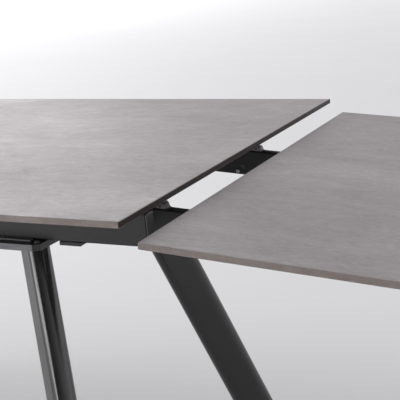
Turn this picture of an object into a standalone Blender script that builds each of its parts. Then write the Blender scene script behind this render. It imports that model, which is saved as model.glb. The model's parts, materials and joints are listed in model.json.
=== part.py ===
"""Extendable dining table: a fixed main top on a splayed four-leg base, with a pull-out leaf at each end.

Frame: origin on the floor under the middle of the main top, X along the table, Y across it, Z up, metres.
Each leaf rides on two arms that pivot on blocks sliding in tracks under the main top. Here both leaves
stand part-way: pulled away from the main top by LEAF_GAP and drooping by DROOP on their pivots. Turned half
a turn about Z, the table is the same.
"""

from math import cos, pi, radians, sin

import bmesh
import bpy
from mathutils import Matrix, Vector

UP = (0, 0, 1)
GAP = 0.0003  # between pieces that touch

# Tops
TABLE_LENGTH = 1.600  # main top
TABLE_WIDTH = 0.900
TABLE_HEIGHT = 0.760
SLAB = 0.010  # thickness of every top slab
SLAB_EASE = 0.0008  # eased arris of the slabs
EDGE_STRIP = 0.0012  # dark strip on each end of the main top
EDGE_STRIP_RISE = 0.0014  # of the strip's lower edge above the slab's underside
LEAF_LENGTH = 0.450

# Frame under the main top
TAPE_THICKNESS = 0.0014
TAPE_MARGIN = 0.003  # from the sides of the rail
TAPE_END_INSET = 0.030  # from the end of the top
RAIL_WIDTH = 0.020
RAIL_HEIGHT = 0.050
RAIL_WALL = 0.0015
RAIL_INSET = 0.0772  # from the side of the top to the outer face of the rail
RAIL_SETBACK = 0.105  # of one end of each rail from the end of the top, at opposite ends of the two rails
CAP_FLANGE = 0.0035
CAP_EASE = 0.0012
CAP_PLUG = 0.014
CAP_FIT = 0.0004  # between a plug and the bore that it fills
CROSS_HEIGHT = 0.020
OUTER_CROSS_WIDTH = 0.040
OUTER_CROSS_INSET = 0.130  # from the end of the top to the middle of the cross tube
INNER_CROSS_WIDTH = 0.020
BLOCK_LENGTH = 0.0455  # bevelled block under each end of a rail
BLOCK_NOSE = 0.009
BLOCK_HEIGHT = 0.0055
BLOCK_INSET = 0.108  # from the end of the top to the outer end of the block

# Base
BASE_RAIL_CLEAR = 0.0064  # between its inner edge and the track beside it
BASE_RAIL_HEIGHT = 0.010
BASE_RAIL_OVERHANG = 0.0245  # outside the side rail above it
BASE_RAIL_INSET = 0.176  # from the end of the top
BASE_CHAMFER = (0.011, 0.007)  # along and across the table
BEAM_WIDTH = 0.080
BEAM_HEIGHT = 0.022
BEAM_WALL = 0.002
BEAM_INSET = 0.3398  # from the end of the top to the middle of the beam
BEAM_CLEAR = 0.002  # under a drooping arm
SADDLE_LENGTH = 0.032
SADDLE_INSET = 0.003  # from the base rail's inner edge, and from the beam's end
LEG_LONG = 0.080  # flat-oval leg tube, square to its own axis
LEG_SHORT = 0.040
LEG_WALL = 0.002
LEG_TOP_Y = 0.183
LEG_TURN = radians(39.3)  # of the oval's long direction from the X axis, seen from above
FOOT_INSET = 0.1585  # from the end of the top to the leg's axis at the floor
FOOT_SIDE_INSET = 0.0732
FOOT = 0.006
FOOT_MARGIN = 0.0015

# Leaf, as it lies level
DROOP = radians(4.34)
LEAF_DROP = 0.0278  # of its inner edge at rest
LEAF_GAP = 0.026  # from the main top to its inner edge at rest
HOME_GAP = 0.001  # when pushed home
ARM_WIDTH = 0.020
ARM_HEIGHT = 0.050
ARM_WALL = 0.002
ARM_Y = 0.201  # middle of the arm
ARM_DEPTH = 0.0331  # of the arm's top below the table's surface
ARM_REACH = 0.410  # from the inner edge of the leaf to the arm's outer end
ARM_TAIL = 0.015  # of the arm behind its pivot
BATTEN_WIDTH = 0.040
BATTEN_WALL = 0.0015
BATTEN_LENGTH = 0.740
BATTEN_PLACES = (("inner", 0.070), ("outer", 0.340))  # from the inner edge of the leaf
CATCH_BACK = 0.0993  # from the inner edge of the leaf back to the catch's rear face
CATCH_LENGTH = 0.021
CATCH_NOSE = 0.005
CATCH_HEIGHT = 0.0078
CATCH_WIDTH = 0.018

# Guides
TRACK_WALL = 0.003
TRACK_FIT = 0.0004
TRACK_TO_ARM = 0.0035
TRACK_OUTER_INSET = 0.100
SHOE_LENGTH = 0.060
SHOE_WIDTH = 0.023
TRACK_OVERRUN = 0.0035  # of the track behind the shoe when the leaf is home

# Pivot bolts
PIVOT_RADIUS = 0.005
PIVOT_HEAD = 0.0085
PIVOT_HEAD_HEIGHT = 0.004
HOLE_FIT = 0.0004
BOLT_SIDES = 12
SHOE_HOLE_SHARE = 0.8  # of the block's width that its bolt hole takes

# Levels, worked down from the top surface
SLAB_UNDER = TABLE_HEIGHT - SLAB
RAIL_TOP = SLAB_UNDER - TAPE_THICKNESS - 2 * GAP
RAIL_BOTTOM = RAIL_TOP - RAIL_HEIGHT
CROSS_BOTTOM = RAIL_TOP - CROSS_HEIGHT
BASE_RAIL_TOP = RAIL_BOTTOM - GAP
BASE_RAIL_BOTTOM = BASE_RAIL_TOP - BASE_RAIL_HEIGHT
ARM_TOP = TABLE_HEIGHT - ARM_DEPTH
ARM_BOTTOM = ARM_TOP - ARM_HEIGHT
PIVOT_Z = ARM_TOP - ARM_HEIGHT / 2
PIVOT_DEPTH = TABLE_HEIGHT - PIVOT_Z
BATTEN_TOP = SLAB_UNDER - GAP
BATTEN_HEIGHT = BATTEN_TOP - GAP - ARM_TOP
TRACK_TOP = CROSS_BOTTOM - GAP
SHOE_HEIGHT = 2 * (TRACK_TOP - TRACK_WALL - TRACK_FIT - PIVOT_Z)

# Places along the table. A leaf level on its pivot, turned down by DROOP, has its inner top edge LEAF_DROP
# below the main top and LEAF_GAP away from it.
HALF_LENGTH = TABLE_LENGTH / 2
PIVOT_REACH = (LEAF_DROP - PIVOT_DEPTH * (1 - cos(DROOP))) / sin(DROOP)
PIVOT_X = HALF_LENGTH + LEAF_GAP - PIVOT_REACH * cos(DROOP) - PIVOT_DEPTH * sin(DROOP)
PIVOT_HOME_X = HALF_LENGTH + HOME_GAP - PIVOT_REACH
TRACK_INNER_X = PIVOT_HOME_X - SHOE_LENGTH / 2 - TRACK_OVERRUN
TRACK_OUTER_X = HALF_LENGTH - TRACK_OUTER_INSET
INNER_CROSS_X = TRACK_INNER_X + INNER_CROSS_WIDTH / 2 - GAP
OUTER_CROSS_X = HALF_LENGTH - OUTER_CROSS_INSET
BEAM_X = HALF_LENGTH - BEAM_INSET
BEAM_REACH = BEAM_X + BEAM_WIDTH / 2 - PIVOT_HOME_X
BEAM_TOP = PIVOT_Z - ARM_HEIGHT / 2 * cos(DROOP) - BEAM_REACH * sin(DROOP) - BEAM_CLEAR
BEAM_BOTTOM = BEAM_TOP - BEAM_HEIGHT
LEG_TOP = BEAM_BOTTOM - GAP
LEG_BOTTOM = FOOT + GAP

# Places across the table
HALF_WIDTH = TABLE_WIDTH / 2
RAIL_Y = HALF_WIDTH - RAIL_INSET - RAIL_WIDTH / 2
CROSS_SPAN = 2 * (RAIL_Y - RAIL_WIDTH / 2 - GAP)
BASE_RAIL_OUTER_Y = RAIL_Y + RAIL_WIDTH / 2 + BASE_RAIL_OVERHANG
ARM_OUTER_Y = ARM_Y + ARM_WIDTH / 2
ARM_INNER_Y = ARM_Y - ARM_WIDTH / 2
TRACK_MOUTH_Y = ARM_OUTER_Y + TRACK_TO_ARM
SHOE_Y = TRACK_MOUTH_Y + SHOE_WIDTH / 2
TRACK_WEB_Y = TRACK_MOUTH_Y + SHOE_WIDTH + TRACK_FIT
TRACK_OUTER_Y = TRACK_WEB_Y + TRACK_WALL
BASE_RAIL_INNER_Y = TRACK_OUTER_Y + BASE_RAIL_CLEAR
SADDLE_Y = BASE_RAIL_INNER_Y + SADDLE_INSET
BEAM_END_Y = SADDLE_Y + SADDLE_LENGTH + SADDLE_INSET

# Legs, from the beam to the foot
FOOT_X = HALF_LENGTH - FOOT_INSET
FOOT_Y = HALF_WIDTH - FOOT_SIDE_INSET
SPLAY_X = (FOOT_X - BEAM_X) / LEG_TOP
SPLAY_Y = (FOOT_Y - LEG_TOP_Y) / LEG_TOP


def material(name, colour, roughness, metallic=0.0):
    made = bpy.data.materials.new(name)
    made.use_nodes = True
    shader = made.node_tree.nodes["Principled BSDF"]
    shader.inputs["Base Color"].default_value = (*colour, 1.0)
    shader.inputs["Roughness"].default_value = roughness
    shader.inputs["Metallic"].default_value = metallic
    return made


def add(name, mesh, finish, parent=None):
    """A node of the table, made from a bmesh."""
    bmesh.ops.recalc_face_normals(mesh, faces=mesh.faces)
    data = bpy.data.meshes.new(name)
    mesh.to_mesh(data)
    mesh.free()
    made = bpy.data.objects.new(name, data)
    data.materials.append(finish)
    bpy.context.scene.collection.objects.link(made)
    made.parent = parent
    return made


def smooth(made, angle=30.0):
    made.data.shade_smooth()
    made.data.set_sharp_from_angle(angle=radians(angle))


def box(mesh, low, high):
    """A box between two corners."""
    low, high = Vector(low), Vector(high)
    size = high - low
    matrix = Matrix.Translation((low + high) / 2) @ Matrix.Diagonal((*size, 1.0))
    return bmesh.ops.create_cube(mesh, size=1.0, matrix=matrix)["verts"]


def prism(mesh, outline, start, length, axes):
    """An outline swept along the first of three axes, its own two coordinates lying along the others."""
    along, across, up = (Vector(a) for a in axes)
    verts = [mesh.verts.new(Vector(start) + across * a + up * b) for a, b in outline]
    face = mesh.faces.new(verts)
    grown = bmesh.ops.extrude_face_region(mesh, geom=[face])["geom"]
    ends = [g for g in grown if isinstance(g, bmesh.types.BMVert)]
    bmesh.ops.translate(mesh, verts=ends, vec=along * length)
    return verts + ends


def rounded(width, height, radius, steps=3):
    """The outline of a rectangle with round corners, centred on the origin."""
    points = []
    corners = ((1, 1, 0), (-1, 1, 1), (-1, -1, 2), (1, -1, 3))
    for side_x, side_y, quarter in corners:
        cx, cy = side_x * (width / 2 - radius), side_y * (height / 2 - radius)
        for step in range(steps + 1):
            turn = (quarter + step / steps) * pi / 2
            points.append((cx + radius * cos(turn), cy + radius * sin(turn)))
    return points


def hollow(mesh, outer, inner):
    """A tube between two rings of points at each end: outer and inner each map an end to its points."""
    rings = [[mesh.verts.new(p) for p in ring(end)] for ring in (outer, inner) for end in (0, 1)]
    outer_a, outer_b, inner_a, inner_b = rings
    count = len(outer_a)
    for i in range(count):
        j = (i + 1) % count
        mesh.faces.new((outer_a[i], outer_a[j], outer_b[j], outer_b[i]))
        mesh.faces.new((inner_a[j], inner_a[i], inner_b[i], inner_b[j]))
        mesh.faces.new((outer_a[j], outer_a[i], inner_a[i], inner_a[j]))
        mesh.faces.new((outer_b[i], outer_b[j], inner_b[j], inner_b[i]))


def tube(name, size, wall, length, centre, finish, along="X", parent=None):
    """A rectangular tube, open at both ends: size is its width across and its height."""
    width, height = size
    radius = 1.5 * wall
    outline = rounded(width, height, radius)
    bore = rounded(width - 2 * wall, height - 2 * wall, radius - wall * 0.75)
    centre = Vector(centre)

    def place(points):
        def ring(end):
            run = (end - 0.5) * length
            if along == "X":
                return [centre + Vector((run, a, b)) for a, b in points]
            return [centre + Vector((-a, run, b)) for a, b in points]

        return ring

    mesh = bmesh.new()
    hollow(mesh, place(outline), place(bore))
    made = add(name, mesh, finish, parent)
    smooth(made)
    return made


def cylinder(mesh, start, axis, radius, length, sides=16):
    """A round bar from start along an axis."""
    start, axis = Vector(start), Vector(axis)
    turn = axis.to_track_quat("Z", "Y").to_matrix().to_4x4()
    matrix = Matrix.Translation(start + axis * length / 2) @ turn
    bmesh.ops.create_cone(
        mesh, cap_ends=True, segments=sides, radius1=radius, radius2=radius, depth=length, matrix=matrix
    )


def bolt(mesh, seat, axis, shank):
    """A hexagon bolt as one turned solid: its head stands outside seat and its shank runs along axis."""
    seat, axis = Vector(seat), Vector(axis)
    turn = axis.to_track_quat("Z", "Y").to_matrix()
    flat = pi / 6  # half the angle that one flat of the head spans

    def loop(reach, height, hexagon=False):
        points = []
        for i in range(BOLT_SIDES):
            angle = 2 * pi * i / BOLT_SIDES
            out = reach * cos(flat) / cos((angle + flat) % (2 * flat) - flat) if hexagon else reach
            points.append(mesh.verts.new(seat + turn @ Vector((out * cos(angle), out * sin(angle), height))))
        return points

    loops = [
        loop(PIVOT_HEAD, -PIVOT_HEAD_HEIGHT, True),
        loop(PIVOT_HEAD, -GAP, True),
        loop(PIVOT_RADIUS, -GAP),
        loop(PIVOT_RADIUS, shank),
    ]
    for first, second in zip(loops, loops[1:]):
        for i in range(BOLT_SIDES):
            j = (i + 1) % BOLT_SIDES
            mesh.faces.new((first[i], first[j], second[j], second[i]))
    mesh.faces.new(list(reversed(loops[0])))
    mesh.faces.new(loops[-1])


def drill(made, holes):
    """Cuts round holes, each given as start, axis, radius and length, in the object's own frame."""
    mesh = bmesh.new()
    for start, axis, radius, length in holes:
        cylinder(mesh, start, axis, radius, length, sides=12)
    data = bpy.data.meshes.new(made.name + "_holes")
    mesh.to_mesh(data)
    mesh.free()
    cutter = bpy.data.objects.new(data.name, data)
    bpy.context.scene.collection.objects.link(cutter)
    cutter.parent = made.parent
    cutter.hide_render = True
    cutter.display_type = "WIRE"
    cut = made.modifiers.new("Holes", "BOOLEAN")
    cut.object = cutter
    cut.solver = "EXACT"


def ease_edges(made, width, segments):
    ease = made.modifiers.new("Ease", "BEVEL")
    ease.width = width
    ease.segments = segments


def plug(mesh, centre, axis, size, wall):
    """A tube's end cap: a flange outside the tube's end at centre, and a plug in its bore."""
    width, height = size
    along, up = Vector(axis), Vector((0, 0, 1))
    across = up.cross(along)
    flange = rounded(width, height, 1.5 * wall)
    inset = rounded(width - 2 * CAP_EASE, height - 2 * CAP_EASE, 1.5 * wall - CAP_EASE / 2)
    shrink = 2 * (wall + CAP_FIT)
    inner = rounded(width - shrink, height - shrink, wall)
    seat = Vector(centre) + along * GAP
    sections = (
        (inner, -CAP_PLUG),
        (inner, 0.0),
        (flange, 0.0),
        (flange, CAP_FLANGE - CAP_EASE),
        (inset, CAP_FLANGE),
    )
    rings = []
    for ring, run in sections:
        rings.append([mesh.verts.new(seat + along * run + across * a + up * b) for a, b in ring])
    for first, second in zip(rings, rings[1:]):
        for i in range(len(first)):
            j = (i + 1) % len(first)
            mesh.faces.new((first[i], first[j], second[j], second[i]))
    mesh.faces.new(list(reversed(rings[0])))
    mesh.faces.new(rings[-1])


def side_name(side):
    return "back" if side > 0 else "front"


def end_name(end):
    return "right" if end > 0 else "left"


def leg_point(end, side, long, across, z):
    """A point on a leg at a height: long and across are measured square to the leg's axis."""
    axis = Vector((end * SPLAY_X, side * SPLAY_Y, -1)).normalized()
    facing = Vector((end * cos(LEG_TURN), side * sin(LEG_TURN), 0))
    square = (facing - axis * facing.dot(axis)).normalized()
    foot = Vector((end * FOOT_X, side * FOOT_Y, 0))
    point = foot + square * long + axis.cross(square) * across
    return point + axis * ((z - point.z) / axis.z)


def stadium(length, width, steps=8):
    """The outline of a flat oval, length along its first coordinate."""
    points = []
    radius, run = width / 2, (length - width) / 2
    for side in (1, -1):
        for step in range(steps + 1):
            turn = pi / 2 * (2 * step / steps - 1)
            points.append((side * (run + radius * cos(turn)), side * radius * sin(turn)))
    return points


def rail_span(side):
    """Where a side rail starts and ends along the table."""
    near, far = HALF_LENGTH - RAIL_SETBACK, HALF_LENGTH
    return (-far, near) if side > 0 else (-near, far)


def make_fixed_top(ceramic, edging, tape):
    reach = HALF_LENGTH - EDGE_STRIP - GAP
    mesh = bmesh.new()
    box(mesh, (-reach, -HALF_WIDTH, SLAB_UNDER), (reach, HALF_WIDTH, TABLE_HEIGHT))
    ease_edges(add("main_top", mesh, ceramic), SLAB_EASE, 2)
    low, high = SLAB_UNDER + EDGE_STRIP_RISE, TABLE_HEIGHT - GAP
    for end in (-1, 1):
        mesh = bmesh.new()
        near, far = sorted((end * (HALF_LENGTH - EDGE_STRIP), end * HALF_LENGTH))
        box(mesh, (near, -HALF_WIDTH, low), (far, HALF_WIDTH, high))
        add("main_top_strip_" + end_name(end), mesh, edging)
    half = RAIL_WIDTH / 2 - TAPE_MARGIN
    for side in (-1, 1):
        mesh = bmesh.new()
        low, high = rail_span(side)
        start = (low + TAPE_END_INSET, side * RAIL_Y - half, RAIL_TOP + GAP)
        box(mesh, start, (high - TAPE_END_INSET, side * RAIL_Y + half, SLAB_UNDER - GAP))
        add("bonding_tape_" + side_name(side), mesh, tape)


def make_frame(steel, plastic):
    length = TABLE_LENGTH - RAIL_SETBACK - 2 * (CAP_FLANGE + GAP)
    size = (RAIL_WIDTH, RAIL_HEIGHT)
    height = (RAIL_TOP + RAIL_BOTTOM) / 2
    low = -BLOCK_HEIGHT
    block = [(0, 0), (-BLOCK_LENGTH, 0), (-BLOCK_LENGTH, low), (-BLOCK_NOSE, low)]
    for side in (-1, 1):
        x, y = sum(rail_span(side)) / 2, side * RAIL_Y
        tube("side_rail_" + side_name(side), size, RAIL_WALL, length, (x, y, height), steel)
        for end in (-1, 1):
            where = f"{side_name(side)}_{end_name(end)}"
            mesh = bmesh.new()
            plug(mesh, (x + end * length / 2, y, height), (end, 0, 0), size, RAIL_WALL)
            smooth(add("rail_end_cap_" + where, mesh, plastic), 40)
            mesh = bmesh.new()
            start = (end * (HALF_LENGTH - BLOCK_INSET), y - RAIL_WIDTH / 2, RAIL_BOTTOM - GAP)
            prism(mesh, block, start, RAIL_WIDTH, ((0, 1, 0), (end, 0, 0), UP))
            add("rail_block_" + where, mesh, steel)
    middle = RAIL_TOP - CROSS_HEIGHT / 2
    places = (("outer", OUTER_CROSS_X, OUTER_CROSS_WIDTH), ("inner", INNER_CROSS_X, INNER_CROSS_WIDTH))
    for end in (-1, 1):
        for place, x, width in places:
            name = f"cross_tube_{end_name(end)}_{place}"
            size = (width, CROSS_HEIGHT)
            tube(name, size, RAIL_WALL, CROSS_SPAN, (end * x, 0, middle), steel, along="Y")


def make_base(steel):
    """The flat rails under the side rails, and the beams that carry them on welded saddles."""
    reach = HALF_LENGTH - BASE_RAIL_INSET
    cut_x, cut_y = BASE_CHAMFER
    width = BASE_RAIL_OUTER_Y - BASE_RAIL_INNER_Y
    outline = [
        (-reach, -width),
        (reach, -width),
        (reach, -cut_y),
        (reach - cut_x, 0),
        (cut_x - reach, 0),
        (-reach, -cut_y),
    ]
    for side in (-1, 1):
        mesh = bmesh.new()
        start = (0, side * BASE_RAIL_OUTER_Y, BASE_RAIL_BOTTOM)
        prism(mesh, outline, start, BASE_RAIL_HEIGHT, (UP, (1, 0, 0), (0, side, 0)))
        add("base_rail_" + side_name(side), mesh, steel)
    half = BEAM_WIDTH / 2 - 1.5 * BEAM_WALL
    for end in (-1, 1):
        x = end * BEAM_X
        centre = (x, 0, (BEAM_TOP + BEAM_BOTTOM) / 2)
        size = (BEAM_WIDTH, BEAM_HEIGHT)
        beam = tube("base_beam_" + end_name(end), size, BEAM_WALL, 2 * BEAM_END_Y, centre, steel, along="Y")
        for side in (-1, 1):
            mesh = bmesh.new()
            near, far = sorted((side * SADDLE_Y, side * (SADDLE_Y + SADDLE_LENGTH)))
            box(mesh, (x - half, near, BEAM_TOP - BEAM_WALL / 2), (x + half, far, BASE_RAIL_BOTTOM - GAP))
            tool = add(f"{beam.name}_saddle_{side_name(side)}", mesh, steel)
            tool.hide_render = True
            tool.display_type = "WIRE"
            join = beam.modifiers.new("Saddle", "BOOLEAN")
            join.operation = "UNION"
            join.object = tool
            join.solver = "EXACT"


def leg_tube(mesh, end, side, outline, bore):
    """A leg, cut level at both ends."""

    def ring(points):
        heights = (LEG_TOP, LEG_BOTTOM)
        return lambda low: [leg_point(end, side, a, b, heights[low]) for a, b in points]

    hollow(mesh, ring(outline), ring(bore))


def make_legs(steel, rubber):
    outline = stadium(LEG_LONG, LEG_SHORT)
    bore = stadium(LEG_LONG - 2 * LEG_WALL, LEG_SHORT - 2 * LEG_WALL)
    foot = stadium(LEG_LONG - 2 * FOOT_MARGIN, LEG_SHORT - 2 * FOOT_MARGIN)
    for end in (-1, 1):
        for side in (-1, 1):
            where = f"{side_name(side)}_{end_name(end)}"
            mesh = bmesh.new()
            leg_tube(mesh, end, side, outline, bore)
            smooth(add("leg_" + where, mesh, steel), 40)
            mesh = bmesh.new()
            level = [leg_point(end, side, a, b, FOOT) for a, b in foot]
            prism(mesh, [(p.x, p.y) for p in level], (0, 0, 0), FOOT, (UP, (1, 0, 0), (0, 1, 0)))
            smooth(add("foot_" + where, mesh, rubber), 40)


def make_guides(steel):
    """The tracks that the leaf arms' blocks slide in: channels open towards the arms."""
    low = PIVOT_Z - SHOE_HEIGHT / 2 - TRACK_FIT
    high = PIVOT_Z + SHOE_HEIGHT / 2 + TRACK_FIT
    outline = [
        (TRACK_MOUTH_Y, low),
        (TRACK_MOUTH_Y, low - TRACK_WALL),
        (TRACK_OUTER_Y, low - TRACK_WALL),
        (TRACK_OUTER_Y, TRACK_TOP),
        (TRACK_MOUTH_Y, TRACK_TOP),
        (TRACK_MOUTH_Y, high),
        (TRACK_WEB_Y, high),
        (TRACK_WEB_Y, low),
    ]
    for end in (-1, 1):
        for side in (-1, 1):
            mesh = bmesh.new()
            start = (end * TRACK_INNER_X, 0, 0)
            run = TRACK_OUTER_X - TRACK_INNER_X
            prism(mesh, outline, start, run, ((end, 0, 0), (0, side, 0), (0, 0, 1)))
            add(f"guide_track_{side_name(side)}_{end_name(end)}", mesh, steel)


def empty(name, place):
    made = bpy.data.objects.new(name, None)
    bpy.context.scene.collection.objects.link(made)
    made.location = place
    return made


def make_leaf(end, ceramic, steel, plastic):
    """A leaf on its battens and arms, placed from the pivot as it lies level and turned down by DROOP."""
    name = end_name(end)
    turn = empty(f"leaf_{name}_pivot", (end * PIVOT_X, 0, PIVOT_Z))
    turn.rotation_euler = (0, end * DROOP, 0)

    def span(mesh, run, y, z):
        """A box between two distances from the pivot, two places across and two heights."""
        low, high = sorted((end * run[0], end * run[1]))
        box(mesh, (low, y[0], z[0] - PIVOT_Z), (high, y[1], z[1] - PIVOT_Z))

    mesh = bmesh.new()
    reach, across = (PIVOT_REACH, PIVOT_REACH + LEAF_LENGTH), (-HALF_WIDTH, HALF_WIDTH)
    span(mesh, reach, across, (SLAB_UNDER, TABLE_HEIGHT))
    ease_edges(add("leaf_top_" + name, mesh, ceramic, turn), SLAB_EASE, 2)
    for place, run in BATTEN_PLACES:
        centre = (end * (PIVOT_REACH + run), 0, BATTEN_TOP - BATTEN_HEIGHT / 2 - PIVOT_Z)
        size = (BATTEN_WIDTH, BATTEN_HEIGHT)
        tube(f"leaf_batten_{name}_{place}", size, BATTEN_WALL, BATTEN_LENGTH, centre, steel, "Y", turn)
    start, finish = -ARM_TAIL, PIVOT_REACH + ARM_REACH
    wedge = [(0, 0), (CATCH_LENGTH, 0), (CATCH_LENGTH - CATCH_NOSE, CATCH_HEIGHT), (0, CATCH_HEIGHT)]
    for side in (-1, 1):
        y = side * ARM_Y
        where = f"{side_name(side)}_{name}"
        centre = (end * (start + finish) / 2, y, 0)
        size = (ARM_WIDTH, ARM_HEIGHT)
        arm = tube("leaf_arm_" + where, size, ARM_WALL, finish - start, centre, steel, "X", turn)
        outside = side * (ARM_INNER_Y - ARM_WALL)
        drill(arm, [((0, outside, 0), (0, side, 0), PIVOT_RADIUS + HOLE_FIT, ARM_WIDTH + 2 * ARM_WALL)])
        corner = (end * (PIVOT_REACH - CATCH_BACK), y - CATCH_WIDTH / 2, ARM_HEIGHT / 2 + GAP)
        mesh = bmesh.new()
        prism(mesh, wedge, corner, CATCH_WIDTH, ((0, 1, 0), (end, 0, 0), UP))
        add("arm_catch_" + where, mesh, plastic, turn)


def make_carriage(end, nylon, metal):
    """The sliding blocks, and the bolts that a leaf's arms turn on."""
    name = end_name(end)
    slide = empty(f"leaf_{name}_carriage", (end * PIVOT_X, 0, PIVOT_Z))
    depth = SHOE_WIDTH * SHOE_HOLE_SHARE
    for side in (-1, 1):
        where = f"{side_name(side)}_{name}"
        mesh = bmesh.new()
        low = (-SHOE_LENGTH / 2, side * SHOE_Y - SHOE_WIDTH / 2, -SHOE_HEIGHT / 2)
        box(mesh, low, (SHOE_LENGTH / 2, side * SHOE_Y + SHOE_WIDTH / 2, SHOE_HEIGHT / 2))
        shoe = add("guide_shoe_" + where, mesh, nylon, slide)
        mouth = TRACK_MOUTH_Y - TRACK_TO_ARM / 2
        drill(shoe, [((0, side * mouth, 0), (0, side, 0), PIVOT_RADIUS + HOLE_FIT, depth)])
        shank = TRACK_MOUTH_Y + depth - TRACK_TO_ARM - ARM_INNER_Y
        mesh = bmesh.new()
        bolt(mesh, (0, side * ARM_INNER_Y, 0), (0, side, 0), shank)
        smooth(add("pivot_bolt_" + where, mesh, metal, slide), 40)


def main():
    for item in list(bpy.data.objects):
        bpy.data.objects.remove(item, do_unlink=True)
    ceramic = material("ceramic_top", (0.31, 0.29, 0.285), 0.45)
    edging = material("dark_edging", (0.03, 0.022, 0.022), 0.5)
    steel = material("black_steel", (0.022, 0.022, 0.024), 0.4)
    plastic = material("black_plastic", (0.03, 0.03, 0.032), 0.45)
    nylon = material("grey_nylon", (0.22, 0.22, 0.22), 0.5)
    rubber = material("black_rubber", (0.02, 0.02, 0.02), 0.8)
    metal = material("bolt_steel", (0.35, 0.35, 0.35), 0.35, 1.0)
    make_fixed_top(ceramic, edging, rubber)
    make_frame(steel, plastic)
    make_base(steel)
    make_legs(steel, rubber)
    make_guides(steel)
    for end in (1, -1):
        make_leaf(end, ceramic, steel, plastic)
        make_carriage(end, nylon, metal)


main()
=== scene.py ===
"""Looks of the extendable dining table: materials, small fittings, floor, light and camera."""

import json
from math import cos, pi, radians, sin
from random import Random

import bmesh
import bpy
from mathutils import Matrix, Vector


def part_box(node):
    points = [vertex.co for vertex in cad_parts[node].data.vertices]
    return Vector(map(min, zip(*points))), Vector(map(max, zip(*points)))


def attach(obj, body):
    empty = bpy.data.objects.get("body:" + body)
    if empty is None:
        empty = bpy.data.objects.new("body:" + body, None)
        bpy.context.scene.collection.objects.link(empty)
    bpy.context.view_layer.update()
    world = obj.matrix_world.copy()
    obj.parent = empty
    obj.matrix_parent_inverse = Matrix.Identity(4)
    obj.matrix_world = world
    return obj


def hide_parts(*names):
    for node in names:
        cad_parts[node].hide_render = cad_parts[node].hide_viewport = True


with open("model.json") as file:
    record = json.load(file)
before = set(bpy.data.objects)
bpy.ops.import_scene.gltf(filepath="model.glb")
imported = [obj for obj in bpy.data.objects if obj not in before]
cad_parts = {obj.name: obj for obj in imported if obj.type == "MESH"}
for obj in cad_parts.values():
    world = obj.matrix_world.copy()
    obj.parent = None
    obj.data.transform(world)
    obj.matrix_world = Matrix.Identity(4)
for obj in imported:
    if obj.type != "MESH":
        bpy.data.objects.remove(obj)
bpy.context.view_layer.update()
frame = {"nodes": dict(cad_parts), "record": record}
nodes = frame["nodes"]
collection = bpy.context.scene.collection

# Camera
CAMERA_PLACE = (1.49786, -1.59656, 1.14266)
CAMERA_HEADING = 26.546
CAMERA_PITCH = 15.124
CAMERA_ROLL = -4.725
CAMERA_LENS = 92.70

# Light, in watts and world strength
WORLD_DARK, WORLD_PALE = 0.06, 1.42
WINDOW_SIDE, WINDOW_FRONT, WALL_WASH = 860, 40, 600

# Table, as the solids are built
GAP = 0.0003
DROOP = radians(4.34)
PIVOT = (0.45749, 0.7019)  # along the table and up
LEAF_INNER = 0.36513  # from the pivot to the leaf's inner edge
ARM_Y, ARM_WIDTH, ARM_HEIGHT = 0.201, 0.020, 0.050
ARM_TAIL, ARM_REACH = 0.015, 0.410
RAIL_Y, RAIL_WIDTH, RAIL_HEIGHT, RAIL_BOTTOM = 0.3628, 0.020, 0.050, 0.698
PLATE_TOP, PLATE_BOTTOM, PLATE_OUTER, PLATE_END = 0.6977, 0.6877, 0.3973, 0.624
LEG_LONG, LEG_SHORT, LEG_TURN = 0.080, 0.040, radians(39.3)
LEG_TOP_Y, FOOT_X, FOOT_Y = 0.183, 0.6415, 0.3768
BEAM_X, BEAM_END, BEAM_WIDTH = 0.4602, 0.2853, 0.080
LEG_TOP, LEG_BOTTOM = 0.6474, 0.0063
LEG_SPAN = 0.6477  # height that the legs' splay is measured over
LEG_WALL = 0.002
LEG_WELD = 0.0024  # radius of the bead
TUBE_WALL, TUBE_CORNER = 0.002, 0.003
BEAM_HEIGHT = 0.022
CAP_DEPTH, CAP_CORNER = 0.0035, 0.0026  # of a rail's end cap
PACKING_END = 0.602  # along the table
PACKING_WIDTH, PACKING_HEIGHT, PACKING_CORNER = 0.010, 0.0028, 0.0005
PACKING_EASE = 0.0008
PACKING_OUT, PACKING_UP = 0.0065, 0.0015  # of its middle, from the side rail and over the base rail
CORNER_BOLT_BACK, CORNER_BOLT_IN = 0.0105, 0.0145  # from the base rail's end and outer edge
RAIL_BOLTS = (-0.585, -0.375, -0.125, 0.125, 0.375, 0.585)
SADDLE_WELD_OUT = 0.0378  # from the beam's middle
SADDLE_WELD_START, SADDLE_WELD_LENGTH = 0.2520, 0.0305
BATTEN_PLACES = (("inner", 0.070), ("outer", 0.340))  # from the leaf's inner edge
BATTEN_WIDTH, BATTEN_HEIGHT, BATTEN_END = 0.040, 0.0225, 0.370
BATTEN_WALL, BATTEN_CORNER = 0.0015, 0.00225
STOP_SCREW_BACK, CATCH_BACK = 0.1276, 0.0993  # from the leaf's inner edge
CATCH_LENGTH, CATCH_HEIGHT, CATCH_HALF, CATCH_EASE = 0.021, 0.0078, 0.009, 0.0006
UP = Vector((0, 0, 1))
ENDS = (("right", 1), ("left", -1))
SIDES = (("front", -1), ("back", 1))


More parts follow.
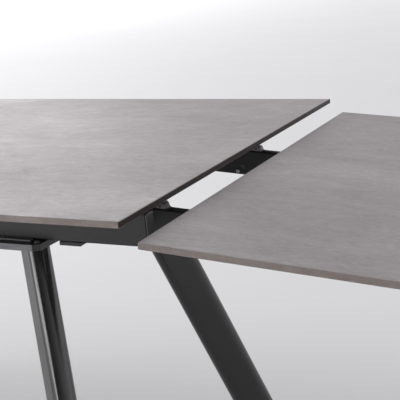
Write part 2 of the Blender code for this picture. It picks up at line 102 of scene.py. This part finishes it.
class Nodes:
    """A material's node tree, with short calls for the nodes used here."""

    def __init__(self, name):
        self.material = bpy.data.materials.new(name)
        self.material.use_nodes = True
        self.tree = self.material.node_tree
        self.shader = self.tree.nodes["Principled BSDF"]
        self.place = self.new("ShaderNodeTexCoord").outputs["Object"]

    def new(self, kind, **settings):
        made = self.tree.nodes.new(kind)
        for key, value in settings.items():
            setattr(made, key, value)
        return made

    def feed(self, socket, value):
        if isinstance(value, bpy.types.NodeSocket):
            self.tree.links.new(value, socket)
        elif isinstance(value, tuple) and len(value) == 3 and socket.type == "RGBA":
            socket.default_value = (*value, 1.0)
        else:
            socket.default_value = value

    def stretched(self, scale):
        made = self.new("ShaderNodeMapping")
        self.feed(made.inputs["Vector"], self.place)
        made.inputs["Scale"].default_value = scale
        return made.outputs["Vector"]

    def noise(self, scale, detail=4.0, roughness=0.5, vector=None, distortion=0.0):
        made = self.new("ShaderNodeTexNoise")
        self.feed(made.inputs["Vector"], vector or self.place)
        made.inputs["Scale"].default_value = scale
        made.inputs["Detail"].default_value = detail
        made.inputs["Roughness"].default_value = roughness
        made.inputs["Distortion"].default_value = distortion
        return made.outputs["Fac"]

    def ramp(self, factor, *stops):
        made = self.new("ShaderNodeValToRGB")
        self.feed(made.inputs["Fac"], factor)
        ramp = made.color_ramp
        while len(ramp.elements) < len(stops):
            ramp.elements.new(0.5)
        for element, (place, colour) in zip(ramp.elements, stops):
            element.position = place
            value = colour if isinstance(colour, tuple) else (colour,) * 3
            element.color = (*value, 1.0)
        return made.outputs["Color"]

    def range(self, factor, low, high, to_low, to_high):
        made = self.new("ShaderNodeMapRange")
        self.feed(made.inputs["Value"], factor)
        for key, value in (("From Min", low), ("From Max", high), ("To Min", to_low), ("To Max", to_high)):
            made.inputs[key].default_value = value
        return made.outputs["Result"]

    def mix(self, factor, a, b):
        made = self.new("ShaderNodeMix", data_type="RGBA")
        self.feed(made.inputs[0], factor)
        self.feed(made.inputs[6], a)
        self.feed(made.inputs[7], b)
        return made.outputs[2]

    def maths(self, operation, a, b=0.0):
        made = self.new("ShaderNodeMath", operation=operation)
        self.feed(made.inputs[0], a)
        self.feed(made.inputs[1], b)
        return made.outputs[0]

    def bump(self, height, distance, strength, normal=None):
        made = self.new("ShaderNodeBump")
        made.inputs["Strength"].default_value = strength
        made.inputs["Distance"].default_value = distance
        self.feed(made.inputs["Height"], height)
        if normal is not None:
            self.feed(made.inputs["Normal"], normal)
        return made.outputs["Normal"]

    def normal_part(self, axis):
        split = self.new("ShaderNodeSeparateXYZ")
        self.feed(split.inputs[0], self.new("ShaderNodeNewGeometry").outputs["Normal"])
        return split.outputs[axis]

    def set(self, name, value):
        self.feed(self.shader.inputs[name], value)


def ceramic_material():
    """Matt ceramic slab: a cloudy concrete print drawn out along the table, and a mesh-backed underside."""
    n = Nodes("ceramic_stone")
    drawn = n.stretched((1.0, 2.2, 2.2))
    cloud = n.noise(2.6, 5.0, 0.58, n.stretched((1.0, 1.5, 1.5)), 0.25)
    streak = n.noise(15.0, 7.0, 0.70, drawn, 0.2)
    fine = n.noise(75.0, 5.0, 0.7, n.stretched((1.0, 2.8, 2.8)), 0.3)
    speck = n.noise(520.0, 2.0, 0.6)
    tone = n.maths("ADD", n.maths("MULTIPLY", cloud, 0.32), n.maths("MULTIPLY", streak, 0.22))
    tone = n.maths("ADD", tone, n.maths("MULTIPLY", fine, 0.30))
    tone = n.maths("ADD", tone, n.maths("MULTIPLY", speck, 0.16))
    face = n.ramp(
        tone,
        (0.36, (0.136, 0.115, 0.116)),
        (0.46, (0.176, 0.152, 0.154)),
        (0.54, (0.208, 0.182, 0.185)),
        (0.64, (0.260, 0.233, 0.238)),
    )
    # painted light: upright faces get a warmer colour, lighter than the top's, painted for how the sides
    # catch the light
    edge = n.ramp(
        tone,
        (0.38, (0.195, 0.158, 0.146)),
        (0.50, (0.262, 0.220, 0.206)),
        (0.62, (0.335, 0.292, 0.276)),
    )
    weave = n.new("ShaderNodeTexBrick", offset=0.0)
    n.feed(weave.inputs["Vector"], n.place)
    weave.inputs["Scale"].default_value = 1.0
    for key, value in (("Mortar Size", 0.0006), ("Brick Width", 0.005), ("Row Height", 0.005)):
        weave.inputs[key].default_value = value
    weave.inputs["Mortar Smooth"].default_value = 0.3
    threads = weave.outputs["Fac"]
    back = n.mix(threads, (0.120, 0.115, 0.112), (0.230, 0.225, 0.215))
    back = n.mix(n.range(streak, 0.35, 0.65, 0.0, 0.35), back, (0.150, 0.140, 0.132))
    upright = n.normal_part(2)
    # painted light: level picks the top's print, and the sides take their painted-light colour
    level = n.range(upright, 0.55, 0.9, 0.0, 1.0)
    under = n.range(upright, -0.9, -0.55, 1.0, 0.0)
    n.set("Base Color", n.mix(under, n.mix(level, edge, face), back))
    n.set("Roughness", n.range(tone, 0.38, 0.62, 0.54, 0.42))
    n.shader.inputs["Specular IOR Level"].default_value = 0.38
    grain = n.bump(fine, 0.0003, 0.30)
    grain = n.bump(speck, 0.0002, 0.4, grain)
    n.set("Normal", n.bump(n.maths("MULTIPLY", threads, under), 0.0003, 0.8, grain))
    return n.material


def coat_material(name, colour, rough, peel=0.00008, scuff=0.25, shine=0.5):
    """Powder coat: fine orange peel, faint cloudiness and lighter rubbed spots."""
    n = Nodes(name)
    cloud = n.noise(9.0, 4.0, 0.55)
    dust = n.noise(160.0, 3.0, 0.6)
    pits = n.noise(900.0, 2.0, 0.5)
    dark = tuple(c * (1 - scuff * 0.5) for c in colour)
    light = tuple(c * (1 + scuff) + 0.002 for c in colour)
    n.set("Base Color", n.mix(n.maths("MULTIPLY", n.maths("ADD", cloud, dust), 0.5), dark, light))
    n.set("Roughness", n.range(cloud, 0.3, 0.7, rough - 0.05, rough + 0.07))
    n.shader.inputs["Specular IOR Level"].default_value = shine
    n.set("Normal", n.bump(pits, peel, 0.7))
    return n.material


def plate_material():
    """The same coat on the flat base rails, with their upright front and back faces painted paler, in
    streaks, as a painted sheen.
    """
    n = Nodes("base_plate_coat")
    cloud = n.noise(9.0, 4.0, 0.55)
    sheen_streaks = n.noise(60.0, 5.0, 0.65, n.stretched((0.35, 2.0, 2.0)))
    pits = n.noise(900.0, 2.0, 0.5)
    flat = n.mix(cloud, (0.020, 0.020, 0.022), (0.034, 0.033, 0.036))
    # painted sheen: the upright front and back faces are painted pale and streaky for the light they reflect
    side = n.ramp(sheen_streaks, (0.35, (0.140, 0.137, 0.145)), (0.65, (0.215, 0.210, 0.220)))
    upright = n.maths("ABSOLUTE", n.normal_part(1))
    n.set("Base Color", n.mix(n.range(upright, 0.85, 0.98, 0.0, 1.0), flat, side))
    n.set("Roughness", n.range(cloud, 0.3, 0.7, 0.30, 0.40))
    n.set("Normal", n.bump(pits, 0.00006, 0.7))
    return n.material


def plastic_material(name, colour, rough, shine=0.5):
    """Moulded plastic: faint flow marks and a fine etched texture."""
    n = Nodes(name)
    flow = n.noise(40.0, 3.0, 0.5, n.stretched((1.0, 1.0, 3.0)))
    etch = n.noise(1400.0, 2.0, 0.5)
    dark = tuple(c * 0.85 for c in colour)
    light = tuple(c * 1.18 for c in colour)
    n.set("Base Color", n.mix(flow, dark, light))
    n.set("Roughness", n.range(flow, 0.3, 0.7, rough - 0.05, rough + 0.06))
    n.shader.inputs["Specular IOR Level"].default_value = shine
    n.set("Normal", n.bump(etch, 0.00006, 0.6))
    return n.material


def metal_material(name, colour, rough):
    """Zinc-plated steel: brushed haze."""
    n = Nodes(name)
    haze = n.noise(300.0, 3.0, 0.6)
    n.set("Base Color", n.mix(haze, tuple(c * 0.8 for c in colour), tuple(c * 1.15 for c in colour)))
    n.set("Roughness", n.range(haze, 0.3, 0.7, rough - 0.06, rough + 0.08))
    n.shader.inputs["Metallic"].default_value = 1.0
    n.set("Normal", n.bump(haze, 0.00003, 0.5))
    return n.material


LOOKS = {
    "ceramic_top": ceramic_material(),
    "dark_edging": plastic_material("edge_sealing", (0.014, 0.0075, 0.0070), 0.42, 0.26),
    "black_steel": coat_material("black_powder_coat", (0.018, 0.017, 0.019), 0.36, shine=0.42),
    "black_plastic": plastic_material("black_moulding", (0.028, 0.027, 0.029), 0.36),
    "grey_plastic": plastic_material("catch_moulding", (0.110, 0.110, 0.116), 0.36),
    "grey_nylon": plastic_material("shoe_nylon", (0.22, 0.22, 0.21), 0.5),
    "black_foam": coat_material("bonding_foam", (0.018, 0.018, 0.018), 0.9, 0.0003),
    "black_rubber": coat_material("foot_rubber", (0.018, 0.018, 0.019), 0.75, 0.0001),
    "bolt_steel": metal_material("plated_steel", (0.42, 0.42, 0.43), 0.34),
}
PLATE_LOOK = plate_material()
# painted light: the packing strip and corner button heads are painted pale grey so they stay light in the
# side rail's shade
PACKING_PAINTED_LIGHT_LOOK = plastic_material("packing_strip_painted_light", (0.120, 0.118, 0.125), 0.30)
LEG_LOOK = coat_material("leg_coat", (0.013, 0.0125, 0.014), 0.17, 0.00001, 0.2, 0.75)
# painted shade: the arms' coat is the same black painted darker, for the shade they lie in under the side
# rails
ARM_PAINTED_SHADE_LOOK = coat_material("arm_coat_painted_shade", (0.010, 0.0098, 0.0105), 0.42, shine=0.30)
EASED = {
    "base_rail": 0.0009,
    "rail_block": 0.0006,
    "foot": 0.0015,
    "guide_shoe": 0.0010,
    "guide_track": 0.0005,
}
slots = {part["node"]: part["material_slot"] for part in frame["record"]["subparts"]}
for name, node in nodes.items():
    node.data.materials.clear()
    look = LOOKS[slots[name]]
    for kind, own in (("base_rail", PLATE_LOOK), ("leaf_arm", ARM_PAINTED_SHADE_LOOK)):
        look = own if name.startswith(kind) else look
    node.data.materials.append(look)
    for kind, width in EASED.items():
        if name.startswith(kind):
            ease = node.modifiers.new("Ease", "BEVEL")
            ease.width, ease.segments, ease.limit_method = width, 2, "ANGLE"
            ease.angle_limit = radians(35)


def piece(name, mesh, slot, body, look=None, angle=35.0, replaced=()):
    """A piece of the visual model: its bmesh is in the table's frame at rest."""
    bmesh.ops.recalc_face_normals(mesh, faces=mesh.faces)
    data = bpy.data.meshes.new(name)
    mesh.to_mesh(data)
    mesh.free()
    data.shade_smooth()
    data.set_sharp_from_angle(angle=radians(angle))
    data.materials.append(look or LOOKS[slot])
    made = bpy.data.objects.new(name, data)
    collection.objects.link(made)
    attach(made, body)
    if replaced:
        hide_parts(*replaced)


def loft(mesh, rings, close_start=True, close_end=True):
    """Joins rings of points, each as long as the last, into one skin."""
    made = [[mesh.verts.new(p) for p in ring] for ring in rings]
    for first, second in zip(made, made[1:]):
        for i in range(len(first)):
            j = (i + 1) % len(first)
            mesh.faces.new((first[i], first[j], second[j], second[i]))
    if close_start:
        mesh.faces.new(list(reversed(made[0])))
    if close_end:
        mesh.faces.new(made[-1])


def rounded(width, height, radius):
    """Points round a rectangle with rounded corners."""
    steps, points = 5, []
    for side_x, side_y, quarter in ((1, 1, 0), (-1, 1, 1), (-1, -1, 2), (1, -1, 3)):
        cx, cy = side_x * (width / 2 - radius), side_y * (height / 2 - radius)
        for step in range(steps + 1):
            turn = (quarter + step / steps) * pi / 2
            points.append((cx + radius * cos(turn), cy + radius * sin(turn)))
    return points


def frame_at(place, axis):
    """Origin and three directions of a fitting: its axis first."""
    axis = Vector(axis).normalized()
    across = UP.cross(axis)
    if across.length < 0.01:
        across = Vector((1, 0, 0))
    across.normalize()
    return Vector(place), axis, across, axis.cross(across)


def turned(mesh, place, axis, profile):
    """A round fitting from (radius, run) pairs along its axis."""
    origin, axis, across, lift = frame_at(place, axis)
    sides, rings = 24, []
    for radius, run in profile:
        ring = []
        for i in range(sides):
            turn = 2 * pi * i / sides
            ring.append(origin + axis * run + (across * cos(turn) + lift * sin(turn)) * radius)
        rings.append(ring)
    loft(mesh, rings)


def hexagon(mesh, place, axis, reach, low, high):
    """A hexagon head with chamfered corners, standing from low to high along its axis."""
    origin, axis, across, lift = frame_at(place, axis)

    def ring(run, trim):
        points = []
        for i in range(24):
            turn = 2 * pi * i / 24
            flat = reach / cos((turn + pi / 6) % (pi / 3) - pi / 6)
            out = min(flat, reach * trim)
            points.append(origin + axis * run + (across * cos(turn) + lift * sin(turn)) * out)
        return points

    loft(mesh, [ring(low, 1.2), ring(high - reach * 0.12, 1.2), ring(high, 1.0), ring(high, 0.75)])


def hex_bolt(mesh, place, axis, size=0.0065, height=0.0045):
    """A bolt head on its washer, standing out along axis from place."""
    washer = size * 1.45
    profile = [(washer * 0.9, 0.0), (washer, 0.0002), (washer, 0.0010), (washer * 0.93, 0.0012)]
    turned(mesh, place, axis, profile)
    hexagon(mesh, place, axis, size, 0.0012, 0.0012 + height)


def dome_bolt(mesh, place, axis, radius, height):
    """A button head with a socket in it."""
    profile = [(radius, 0.0), (radius, height * 0.25)]
    for step in range(1, 6):
        turn = step / 6 * pi / 2
        profile.append((radius * (0.45 + 0.55 * cos(turn)), height * (0.25 + 0.75 * sin(turn))))
    profile += [(radius * 0.42, height), (radius * 0.40, height * 0.35)]
    turned(mesh, place, axis, profile)


def bead(mesh, path, radius, closed=True, seed=0):
    """A weld: a bar along a path, rippled and a little uneven."""
    count, sides, rings = len(path), 8, []
    rippling = Random(seed)
    for i, point in enumerate(path):
        ahead = path[(i + 1) % count] if closed or i + 1 < count else path[i]
        behind = path[i - 1] if closed or i else path[0]
        along = (Vector(ahead) - Vector(behind)).normalized()
        origin, along, across, lift = frame_at(point, along)
        girth = radius * (1 + 0.16 * (i % 2) + 0.12 * rippling.random())
        ring = []
        for k in range(sides):
            turn = 2 * pi * k / sides
            ring.append(origin + (across * cos(turn) + lift * sin(turn)) * girth)
        rings.append(ring)
    if closed:
        rings.append(rings[0])
        loft(mesh, rings, False, False)
        bmesh.ops.remove_doubles(mesh, verts=mesh.verts, dist=1e-6)
    else:
        loft(mesh, rings)


def leg_frame(end, side):
    """A leg's foot, the direction down its axis, and its long and short directions."""
    lean_x, lean_y = (FOOT_X - BEAM_X) / LEG_SPAN, (FOOT_Y - LEG_TOP_Y) / LEG_SPAN
    axis = Vector((end * lean_x, side * lean_y, -1)).normalized()
    facing = Vector((end * cos(LEG_TURN), side * sin(LEG_TURN), 0))
    long = (facing - axis * facing.dot(axis)).normalized()
    return Vector((end * FOOT_X, side * FOOT_Y, 0)), axis, long, axis.cross(long)


def oval(length, width, steps):
    """Points round a flat oval, evenly enough for a weld to follow."""
    points = []
    radius, run = width / 2, (length - width) / 2
    for side in (1, -1):
        for step in range(steps + 1):
            turn = pi * (step / steps - 0.5)
            points.append((side * (run + radius * cos(turn)), side * radius * sin(turn)))
        flat = max(2, round(steps * 2 * run / (pi * radius)))
        for step in range(1, flat):
            points.append((side * run * (1 - 2 * step / flat), side * radius))
    return points


def make_legs():
    """Smooth flat-oval tubes in place of the faceted ones, with the weld round each one's top."""
    weld_path = oval(LEG_LONG + 0.002, LEG_SHORT + 0.002, 30)
    for end_name, end in ENDS:
        for side_name, side in SIDES:
            where = f"{side_name}_{end_name}"
            foot, axis, long, across = leg_frame(end, side)

            def ring(outline, z):
                points = []
                for a, b in outline:
                    point = foot + long * a + across * b
                    points.append(point + axis * ((z - point.z) / axis.z))
                return points

            outline = oval(LEG_LONG, LEG_SHORT, 32)
            inner = oval(LEG_LONG - 2 * LEG_WALL, LEG_SHORT - 2 * LEG_WALL, 32)
            mesh = bmesh.new()
            heights = [LEG_TOP - (LEG_TOP - LEG_BOTTOM) * i / 6 for i in range(7)]
            rings = [ring(outline, z) for z in heights]
            loft(mesh, rings + [ring(inner, LEG_BOTTOM), ring(inner, LEG_TOP)], False, False)
            name = "leg_" + where
            piece("leg_tube_" + where, mesh, "black_steel", "fixed_table", LEG_LOOK, 50, (name,))
            mesh = bmesh.new()
            bead(mesh, ring(weld_path, LEG_TOP - LEG_WELD / 2), LEG_WELD, seed=len(where))
            piece("leg_weld_" + where, mesh, "black_steel", "fixed_table", None, 60)


def make_rail_ends():
    """End caps with a shadow groove, a round rim and a dished face."""
    for end_name, end in ENDS:
        for side_name, side in SIDES:
            where = f"{side_name}_{end_name}"
            low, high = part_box("rail_end_cap_" + where)
            outer = high.x if end > 0 else low.x
            seat = outer - end * CAP_DEPTH
            middle = RAIL_BOTTOM + RAIL_HEIGHT / 2
            mesh = bmesh.new()
            rings = []
            sections = (
                (-0.0100, 0.0021),
                (0.0000, 0.0019),
                (0.0001, 0.0010),
                (0.0009, 0.0010),
                (0.0010, 0.0001),
                (0.0026, 0.0000),
                (0.0032, 0.0003),
                (0.0035, 0.0010),
                (0.0035, 0.0019),
                (0.0030, 0.0025),
            )
            for run, shrink in sections:
                outline = rounded(RAIL_WIDTH - 2 * shrink, RAIL_HEIGHT - 2 * shrink, CAP_CORNER)
                rings.append([(seat + end * run, side * RAIL_Y + a, middle + b) for a, b in outline])
            loft(mesh, rings)
            name = "rail_end_cap_" + where
            piece("rail_plug_" + where, mesh, "black_plastic", "fixed_table", None, 30, (name,))


def make_base_fittings():
    """On the base rails: a packing strip beside each side rail, button heads at the corners, bolts below."""
    for side_name, side in SIDES:
        mesh = bmesh.new()
        y = side * (RAIL_Y + RAIL_WIDTH / 2 + PACKING_OUT)
        rings = []
        for end, step in ((-1, 0), (-1, 1), (1, 1), (1, 0)):
            back, shrink = step * PACKING_EASE, (1 - step) * PACKING_EASE
            outline = rounded(PACKING_WIDTH - 2 * shrink, PACKING_HEIGHT - 2 * shrink, PACKING_CORNER)
            x, z = end * (PACKING_END - back), PLATE_TOP + PACKING_UP
            rings.append([(x, y + a, z + b) for a, b in outline])
        loft(mesh, rings)
        # the strip and button heads below take the pale grey painted light
        piece("base_packing_" + side_name, mesh, "black_plastic", "fixed_table", PACKING_PAINTED_LIGHT_LOOK)
        mesh = bmesh.new()
        for end in (-1, 1):
            out, across = PLATE_END - CORNER_BOLT_BACK, PLATE_OUTER - CORNER_BOLT_IN
            dome_bolt(mesh, (end * out, side * across, PLATE_TOP), UP, 0.0046, 0.0026)
        piece("base_corner_bolts_" + side_name, mesh, "black_plastic", "fixed_table", PACKING_PAINTED_LIGHT_LOOK)
        mesh = bmesh.new()
        for x in RAIL_BOLTS:
            hex_bolt(mesh, (x, side * RAIL_Y, PLATE_BOTTOM - 0.0001), -UP)
        piece("base_rail_bolts_" + side_name, mesh, "bolt_steel", "fixed_table")
        for end_name, end in ENDS:
            mesh = bmesh.new()
            for edge in (-1, 1):
                path = []
                x = end * BEAM_X + edge * SADDLE_WELD_OUT
                for i in range(15):
                    y = side * (SADDLE_WELD_START + SADDLE_WELD_LENGTH * i / 14)
                    path.append((x, y, PLATE_BOTTOM - 0.0006))
                bead(mesh, path, 0.0019, False, i)
            piece(f"saddle_weld_{side_name}_{end_name}", mesh, "black_steel", "fixed_table", None, 60)


def tube_cap(mesh, place, axis, size, wall, radius):
    """A pressed-in cap over a tube's end."""
    origin, axis, across, lift = frame_at(place, axis)
    width, height = size
    rings = []
    sections = ((-0.006, wall + 0.0003), (0.0, wall + 0.0002), (0.0001, 0.0003))
    sections += ((0.0012, 0.0001), (0.0018, 0.0006), (0.0021, 0.0016), (0.0021, 0.0035))
    for run, shrink in sections:
        outline = rounded(width - 2 * shrink, height - 2 * shrink, max(radius - shrink, 0.0006))
        rings.append([origin + axis * run + across * a + lift * b for a, b in outline])
    loft(mesh, rings)


def make_tube_caps():
    """Caps in the ends of the base beams."""
    for end_name, end in ENDS:
        for side_name, side in SIDES:
            mesh = bmesh.new()
            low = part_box("base_beam_" + end_name)[0]
            place = (end * BEAM_X, side * BEAM_END, low.z + BEAM_HEIGHT / 2)
            tube_cap(mesh, place, (0, side, 0), (BEAM_WIDTH, BEAM_HEIGHT), TUBE_WALL, TUBE_CORNER)
            piece(f"beam_cap_{side_name}_{end_name}", mesh, "black_plastic", "fixed_table")


def make_leaf_fittings(end_name, end):
    """What a leaf's arms and battens carry, built as the leaf lies level and turned down with it."""
    turn = Matrix.Translation((end * PIVOT[0], 0, PIVOT[1])) @ Matrix.Rotation(end * DROOP, 4, "Y")
    body = end_name + "_leaf"
    arm_under = -ARM_HEIGHT / 2

    def leaf_piece(name, mesh, *settings, **more):
        bmesh.ops.transform(mesh, matrix=turn, verts=mesh.verts)
        piece(name, mesh, *settings, body=body, **more)

    for side_name, side in SIDES:
        where = f"{side_name}_{end_name}"
        y = side * ARM_Y
        mesh = bmesh.new()
        size = (ARM_WIDTH, ARM_HEIGHT)
        for along, facing in ((end * (LEAF_INNER + ARM_REACH), end), (-end * ARM_TAIL, -end)):
            tube_cap(mesh, (along, y, 0), (facing, 0, 0), size, TUBE_WALL, TUBE_CORNER)
        leaf_piece("arm_caps_" + where, mesh, "black_plastic")

        inner = y - side * ARM_WIDTH / 2
        screw = LEAF_INNER - STOP_SCREW_BACK
        mesh = bmesh.new()
        facing = (0, -side, 0)
        dome_bolt(mesh, (end * screw, inner, arm_under + 0.0075), facing, 0.0042, 0.0036)
        leaf_piece("arm_stop_screw_" + where, mesh, "bolt_steel")
        mesh = bmesh.new()
        profile = [(0.0050, 0.0), (0.0050, 0.0004), (0.0046, 0.0007)]
        profile += [(0.0038, 0.0007), (0.0034, 0.0001)]
        turned(mesh, (end * (screw + 0.010), inner, arm_under + 0.0165), facing, profile)
        leaf_piece("arm_hole_rim_" + where, mesh, "black_plastic")

        back, half, ease = LEAF_INNER - CATCH_BACK, CATCH_HALF, CATCH_EASE
        outline = [(0.0, 0.0), (1.0, 0.0), (0.93, 0.035), (0.865, 0.16), (0.815, 0.40)]
        outline += [(0.79, 0.68), (0.765, 0.88), (0.70, 1.0), (0.05, 1.0), (0.0, 0.92)]
        mesh = bmesh.new()
        rings = []
        for place, shrink in ((-half, ease), (-half + ease, 0), (half - ease, 0), (half, ease)):
            ring = []
            for run, rise in outline:
                x = back + ease + run * (CATCH_LENGTH - 2 * ease) + (0.5 - run) * 2 * shrink
                lift = max(rise * CATCH_HEIGHT - (shrink if rise > 0.5 else 0), 0)
                z = ARM_HEIGHT / 2 + GAP + lift
                ring.append((end * x, y + place, z))
            rings.append(ring)
        loft(mesh, rings)
        leaf_piece("catch_" + where, mesh, "grey_plastic", angle=40, replaced=("arm_catch_" + where,))
        mesh = bmesh.new()
        for face in (-1, 1):
            spot = (end * (back + 0.0085), y + face * half, ARM_HEIGHT / 2 + 0.0040)
            profile = [(0.0017, 0.0), (0.0016, 0.0003), (0.0009, 0.0003), (0.0007, 0.0)]
            turned(mesh, spot, (0, face, 0), profile)
        leaf_piece("catch_pin_" + where, mesh, "bolt_steel", look=LOOKS["black_foam"])

    for place, run in BATTEN_PLACES:
        low = ARM_HEIGHT / 2 + GAP
        x = end * (LEAF_INNER + run)
        mesh = bmesh.new()
        for side in (-1, 1):
            spot = (x, side * BATTEN_END, low + BATTEN_HEIGHT / 2)
            size = (BATTEN_WIDTH, BATTEN_HEIGHT)
            tube_cap(mesh, spot, (0, side, 0), size, BATTEN_WALL, BATTEN_CORNER)
        leaf_piece(f"batten_caps_{end_name}_{place}", mesh, "black_plastic")
        mesh = bmesh.new()
        for side in (-1, 1):
            for face in (-1, 1):
                path = []
                y = side * ARM_Y + face * ARM_WIDTH / 2
                for i in range(17):
                    path.append((x - 0.018 + 0.036 * i / 16, y, low - 0.0002))
                bead(mesh, path, 0.0018, False, i)
        leaf_piece(f"batten_weld_{end_name}_{place}", mesh, "black_steel", angle=60)


def make_carriage_fittings(end_name, end):
    """A nylon spacer on each pivot bolt between the arm and its block."""
    for side_name, side in SIDES:
        mesh = bmesh.new()
        start = Vector((end * PIVOT[0], side * (ARM_Y + ARM_WIDTH / 2 + GAP), PIVOT[1]))
        axis = Vector((0, side, 0))
        rings = []
        profile = ((0.0052, 0), (0.0090, 0), (0.0094, 0.0004))
        profile += ((0.0094, 0.0024), (0.0090, 0.0028), (0.0052, 0.0028))
        for radius, run in profile:
            ring = []
            for i in range(32):
                turn = 2 * pi * i / 32
                ring.append(start + axis * run + Vector((cos(turn), 0, sin(turn))) * radius)
            rings.append(ring)
        loft(mesh, rings + [rings[0]], False, False)
        bmesh.ops.remove_doubles(mesh, verts=mesh.verts, dist=1e-6)
        piece(f"pivot_spacer_{side_name}_{end_name}", mesh, "grey_nylon", end_name + "_carriage")


make_legs()
make_rail_ends()
make_base_fittings()
make_tube_caps()
for end_name, end in ENDS:
    make_leaf_fittings(end_name, end)
    make_carriage_fittings(end_name, end)


def make_floor():
    """A wide pale floor."""
    mesh = bpy.data.meshes.new("floor")
    half = 40.0
    corners = [(-half, -half, 0), (half, -half, 0), (half, half, 0), (-half, half, 0)]
    mesh.from_pydata(corners, [], [(0, 1, 2, 3)])
    floor = bpy.data.objects.new("floor", mesh)
    collection.objects.link(floor)
    n = Nodes("pale_floor")
    haze = n.noise(0.9, 2.0, 0.5)
    n.set("Base Color", n.mix(haze, (0.575, 0.574, 0.580), (0.610, 0.609, 0.615)))
    n.shader.inputs["Roughness"].default_value = 0.6
    n.shader.inputs["Specular IOR Level"].default_value = 0.2
    mesh.materials.append(n.material)


def area_light(name, place, aim, size, power):
    data = bpy.data.lights.new(name, "AREA")
    data.shape = "RECTANGLE"
    data.size, data.size_y = size
    data.energy = power
    made = bpy.data.objects.new(name, data)
    collection.objects.link(made)
    made.location = place
    made.rotation_euler = (Vector(aim) - Vector(place)).to_track_quat("-Z", "Y").to_euler()


def make_light():
    """A room pale behind and to the right and dark in front, two soft windows on the left, and a far wash."""
    world = bpy.data.worlds.new("studio")
    bpy.context.scene.world = world
    world.use_nodes = True
    tree = world.node_tree
    sky = tree.nodes["Background"]
    sky.inputs["Color"].default_value = (0.985, 0.985, 1.0, 1.0)
    toward = tree.nodes.new("ShaderNodeVectorMath")
    toward.operation = "DOT_PRODUCT"
    toward.inputs[1].default_value = (0.42, 0.87, 0.26)
    tree.links.new(tree.nodes.new("ShaderNodeTexCoord").outputs["Generated"], toward.inputs[0])
    span = tree.nodes.new("ShaderNodeMapRange")
    ends = (("From Min", -0.9), ("From Max", 1.0), ("To Min", WORLD_DARK), ("To Max", WORLD_PALE))
    for key, value in ends:
        span.inputs[key].default_value = value
    tree.links.new(toward.outputs["Value"], span.inputs["Value"])
    tree.links.new(span.outputs["Result"], sky.inputs["Strength"])
    area_light("window_side", (-11.0, -1.6, 5.2), (0.2, 0.0, 0.6), (6.5, 3.6), WINDOW_SIDE)
    area_light("window_front", (-2.3, -2.9, 0.75), (0.4, -0.3, 0.50), (2.6, 0.9), WINDOW_FRONT)
    area_light("wall_wash", (-9.0, 12.0, 6.0), (-6.0, 12.0, 0.0), (6.0, 6.0), WALL_WASH)


def make_camera():
    """The camera, from its place, heading, pitch and roll."""
    heading, pitch, roll = radians(CAMERA_HEADING), radians(CAMERA_PITCH), radians(CAMERA_ROLL)
    ahead = Vector((-sin(heading) * cos(pitch), cos(heading) * cos(pitch), -sin(pitch)))
    level = Vector((cos(heading), sin(heading), 0))
    above = level.cross(ahead)
    right = level * cos(roll) + above * sin(roll)
    up = above * cos(roll) - level * sin(roll)
    data = bpy.data.cameras.new("camera")
    data.lens = CAMERA_LENS
    data.sensor_width = 36.0
    data.clip_start, data.clip_end = 0.05, 200.0
    made = bpy.data.objects.new("camera", data)
    collection.objects.link(made)
    turn = Matrix((right, up, -ahead)).transposed().to_4x4()
    made.matrix_world = Matrix.Translation(CAMERA_PLACE) @ turn
    bpy.context.scene.camera = made


make_floor()
make_light()
make_camera()
bpy.context.scene.view_settings.view_transform = "Standard"
